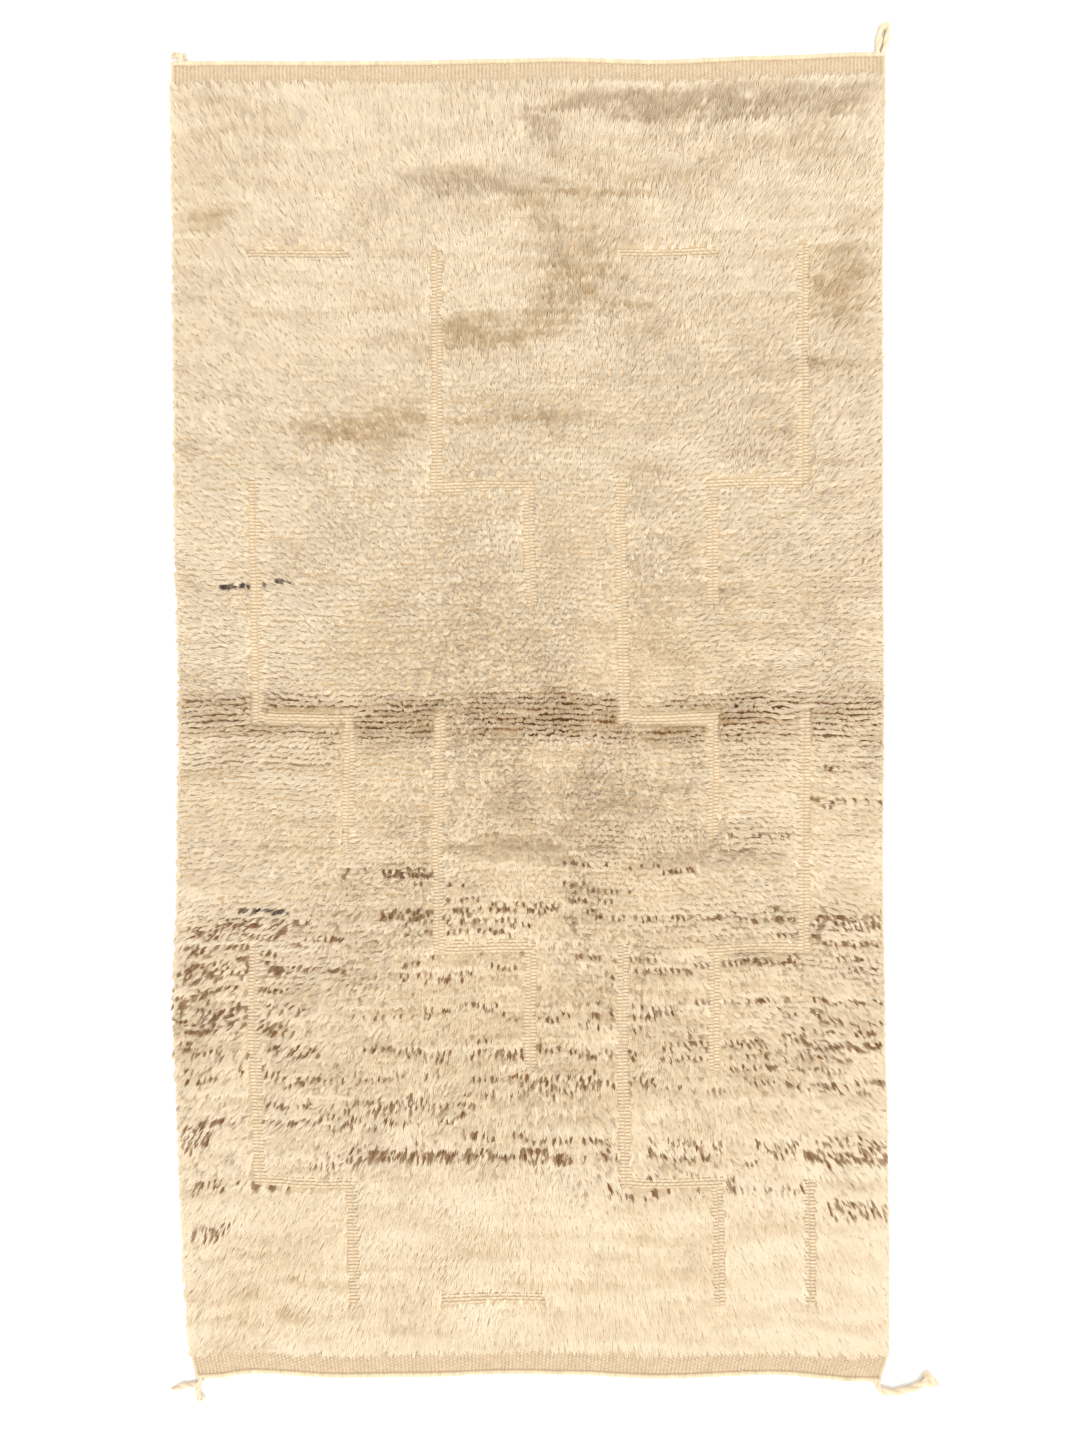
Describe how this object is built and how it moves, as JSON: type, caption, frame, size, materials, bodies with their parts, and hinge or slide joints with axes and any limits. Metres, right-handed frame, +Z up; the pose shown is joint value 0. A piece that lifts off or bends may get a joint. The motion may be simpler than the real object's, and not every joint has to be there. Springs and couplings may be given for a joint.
{
  "type": "beni ourain rug",
  "caption": "Flat hand-knotted wool rug: shaggy pile with narrow flat-woven channels, flat-woven hemmed ends and short yarn tails at its corners.",
  "frame": {"origin": "on the flat underside, at the middle of the rug's width and length", "axes": "+Y along the rug's length, +X across its width, +Z up out of the pile"},
  "size_m": [1.6266, 2.9058, 0.0261],
  "materials": {
    "pile_wool": "undyed hand-spun wool, cream with beige and brown streaks, matt",
    "ground_wool": "flat-woven undyed wool, ribbed, matt",
    "tail_wool": "plied undyed wool yarn, cream, matt"
  },
  "bodies": {
    "root": {"rug": "pile_wool", "tail_top_left": "tail_wool", "tail_top_right": "tail_wool", "tail_bottom_left": "tail_wool", "tail_bottom_right": "tail_wool"}
  },
  "joints": []
}
